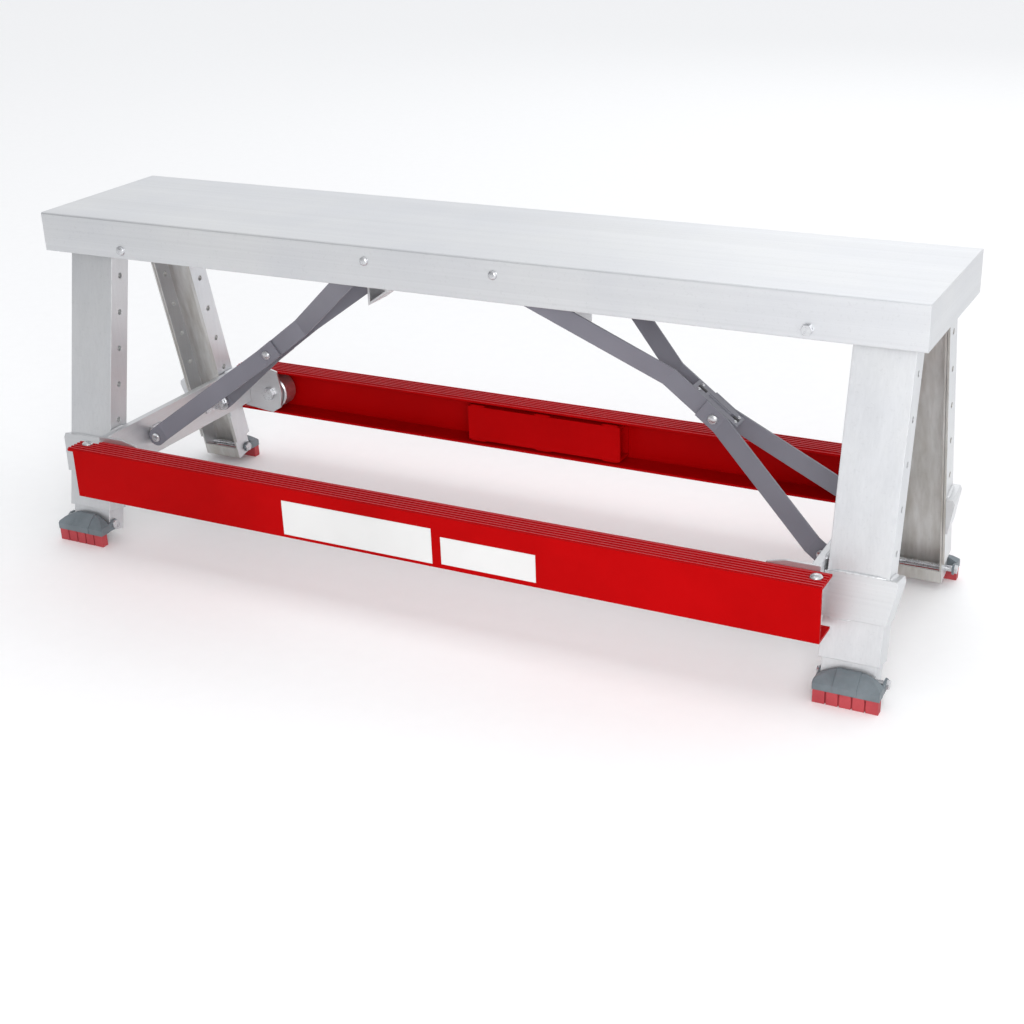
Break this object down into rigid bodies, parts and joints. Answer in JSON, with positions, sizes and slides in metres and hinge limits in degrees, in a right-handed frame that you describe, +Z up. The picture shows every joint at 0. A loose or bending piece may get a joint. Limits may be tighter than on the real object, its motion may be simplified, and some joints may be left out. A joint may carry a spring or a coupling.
{
  "type": "folding sawhorse",
  "caption": "Folding aluminium work platform sawhorse: channel deck on splayed telescoping legs, hinged V braces and red step rails that roll inwards as it folds.",
  "frame": {"origin": "on the floor under the middle of the deck", "axes": "+X along the deck to its right end, +Y to the rear, +Z up"},
  "size_m": [1.2192, 0.4197, 0.461],
  "materials": {
    "mill_aluminium": "satin mill finish",
    "red_paint": "glossy red paint",
    "grey_paint": "smooth grey paint",
    "slate_plastic": "moulded grey plastic",
    "red_rubber": "matt red rubber",
    "zinc_steel": "zinc plated steel",
    "white_label": "plain white film",
    "roller_steel": "turned metal roller"
  },
  "bodies": {
    "deck": {"deck_channel": "mill_aluminium", "end_cap_left": "mill_aluminium", "end_cap_right": "mill_aluminium", "fold_stop_left": "mill_aluminium", "fold_stop_right": "mill_aluminium", "leg_pivot_bolts": "zinc_steel", "brace_top_bolts": "zinc_steel"},
    "frame_left": {"leg_head_left": "mill_aluminium", "outer_leg_front_left": "mill_aluminium", "outer_leg_rear_left": "mill_aluminium", "leg_wraps_left": "mill_aluminium", "cross_beam_left": "mill_aluminium", "end_plates_left": "mill_aluminium", "roller_axles_left": "zinc_steel", "brace_clips_left": "zinc_steel", "clip_pins_left": "zinc_steel"},
    "leg_front_left": {"inner_leg_front_left": "mill_aluminium", "foot_cap_front_left": "slate_plastic", "foot_pad_front_left": "red_rubber", "foot_bolt_front_left": "zinc_steel"},
    "wheel_front_left": {"roller_front_left": "roller_steel"},
    "leg_rear_left": {"inner_leg_rear_left": "mill_aluminium", "foot_cap_rear_left": "slate_plastic", "foot_pad_rear_left": "red_rubber", "foot_bolt_rear_left": "zinc_steel"},
    "wheel_rear_left": {"roller_rear_left": "roller_steel"},
    "link_upper_left": {"brace_upper_left": "grey_paint"},
    "link_lower_left": {"brace_lower_left": "grey_paint", "knee_bolts_left": "zinc_steel"},
    "frame_right": {"leg_head_right": "mill_aluminium", "outer_leg_front_right": "mill_aluminium", "outer_leg_rear_right": "mill_aluminium", "leg_wraps_right": "mill_aluminium", "cross_beam_right": "mill_aluminium", "end_plates_right": "mill_aluminium", "roller_axles_right": "zinc_steel", "brace_clips_right": "zinc_steel", "clip_pins_right": "zinc_steel"},
    "leg_front_right": {"inner_leg_front_right": "mill_aluminium", "foot_cap_front_right": "slate_plastic", "foot_pad_front_right": "red_rubber", "foot_bolt_front_right": "zinc_steel"},
    "wheel_front_right": {"roller_front_right": "roller_steel"},
    "leg_rear_right": {"inner_leg_rear_right": "mill_aluminium", "foot_cap_rear_right": "slate_plastic", "foot_pad_rear_right": "red_rubber", "foot_bolt_rear_right": "zinc_steel"},
    "wheel_rear_right": {"roller_rear_right": "roller_steel"},
    "link_upper_right": {"brace_upper_right": "grey_paint"},
    "link_lower_right": {"brace_lower_right": "grey_paint", "knee_bolts_right": "zinc_steel"},
    "rail_front": {"step_rail_front": "red_paint", "rail_box_front": "red_paint", "rail_stop_bolts_front": "zinc_steel", "rail_labels": "white_label"},
    "rail_rear": {"step_rail_rear": "red_paint", "rail_box_rear": "red_paint", "rail_stop_bolts_rear": "zinc_steel"}
  },
  "joints": [
    {"name": "fold_left", "type": "hinge", "parent": "deck", "child": "frame_left", "pos_m": [-0.477, 0, 0.419], "axis": [0, -1, 0], "range_deg": [0, 90]},
    {"name": "fold_right", "type": "hinge", "parent": "deck", "child": "frame_right", "pos_m": [0.477, 0, 0.419], "axis": [0, 1, 0], "range_deg": [0, 90]},
    {"name": "brace_upper_left_turn", "type": "hinge", "parent": "deck", "child": "link_upper_left", "pos_m": [-0.09, 0, 0.4415], "axis": [0, 1, 0], "range_deg": [0, 35.86]},
    {"name": "brace_lower_left_turn", "type": "hinge", "parent": "frame_left", "child": "link_lower_left", "pos_m": [-0.494, 0, 0.133], "axis": [0, -1, 0], "range_deg": [0, 43.83]},
    {"name": "roller_front_left_turn", "type": "hinge", "parent": "frame_left", "child": "wheel_front_left", "pos_m": [-0.471, -0.186, 0.12], "axis": [0, 1, 0], "range_deg": [0, 90]},
    {"name": "height_front_left", "type": "slide", "parent": "frame_left", "child": "leg_front_left", "axis": [0, 0.2139, 0.9769], "range_m": [-0.312, 0]},
    {"name": "roller_rear_left_turn", "type": "hinge", "parent": "frame_left", "child": "wheel_rear_left", "pos_m": [-0.471, 0.186, 0.12], "axis": [0, 1, 0], "range_deg": [0, 90]},
    {"name": "height_rear_left", "type": "slide", "parent": "frame_left", "child": "leg_rear_left", "axis": [0, -0.2139, 0.9769], "range_m": [-0.312, 0]},
    {"name": "brace_upper_right_turn", "type": "hinge", "parent": "deck", "child": "link_upper_right", "pos_m": [0.09, 0, 0.4415], "axis": [0, -1, 0], "range_deg": [0, 35.86]},
    {"name": "brace_lower_right_turn", "type": "hinge", "parent": "frame_right", "child": "link_lower_right", "pos_m": [0.494, 0, 0.133], "axis": [0, 1, 0], "range_deg": [0, 43.83]},
    {"name": "roller_front_right_turn", "type": "hinge", "parent": "frame_right", "child": "wheel_front_right", "pos_m": [0.471, -0.186, 0.12], "axis": [0, -1, 0], "range_deg": [0, 90]},
    {"name": "height_front_right", "type": "slide", "parent": "frame_right", "child": "leg_front_right", "axis": [0, 0.2139, 0.9769], "range_m": [-0.312, 0]},
    {"name": "roller_rear_right_turn", "type": "hinge", "parent": "frame_right", "child": "wheel_rear_right", "pos_m": [0.471, 0.186, 0.12], "axis": [0, -1, 0], "range_deg": [0, 90]},
    {"name": "height_rear_right", "type": "slide", "parent": "frame_right", "child": "leg_rear_right", "axis": [0, -0.2139, 0.9769], "range_m": [-0.312, 0]},
    {"name": "rail_front_slide", "type": "slide", "parent": "wheel_front_left", "child": "rail_front", "axis": [1, 0, 0], "range_m": [-0.2931, 0]},
    {"name": "rail_rear_slide", "type": "slide", "parent": "wheel_rear_right", "child": "rail_rear", "axis": [1, 0, 0], "range_m": [0, 0.2931]}
  ],
  "couplings": [
    {"joint": "fold_right", "follows": "fold_left", "ratio": 1},
    {"joint": "brace_upper_left_turn", "follows": "fold_left", "ratio": 0.39825},
    {"joint": "brace_lower_left_turn", "follows": "fold_left", "ratio": 0.48674},
    {"joint": "roller_front_left_turn", "follows": "fold_left", "ratio": 1},
    {"joint": "roller_rear_left_turn", "follows": "fold_left", "ratio": 1},
    {"joint": "brace_upper_right_turn", "follows": "fold_left", "ratio": 0.39825},
    {"joint": "brace_lower_right_turn", "follows": "fold_left", "ratio": 0.48674},
    {"joint": "roller_front_right_turn", "follows": "fold_left", "ratio": 1},
    {"joint": "roller_rear_right_turn", "follows": "fold_left", "ratio": 1},
    {"joint": "rail_front_slide", "follows": "fold_left", "m_per_rad": -0.18653},
    {"joint": "rail_rear_slide", "follows": "fold_left", "m_per_rad": 0.18653}
  ]
}
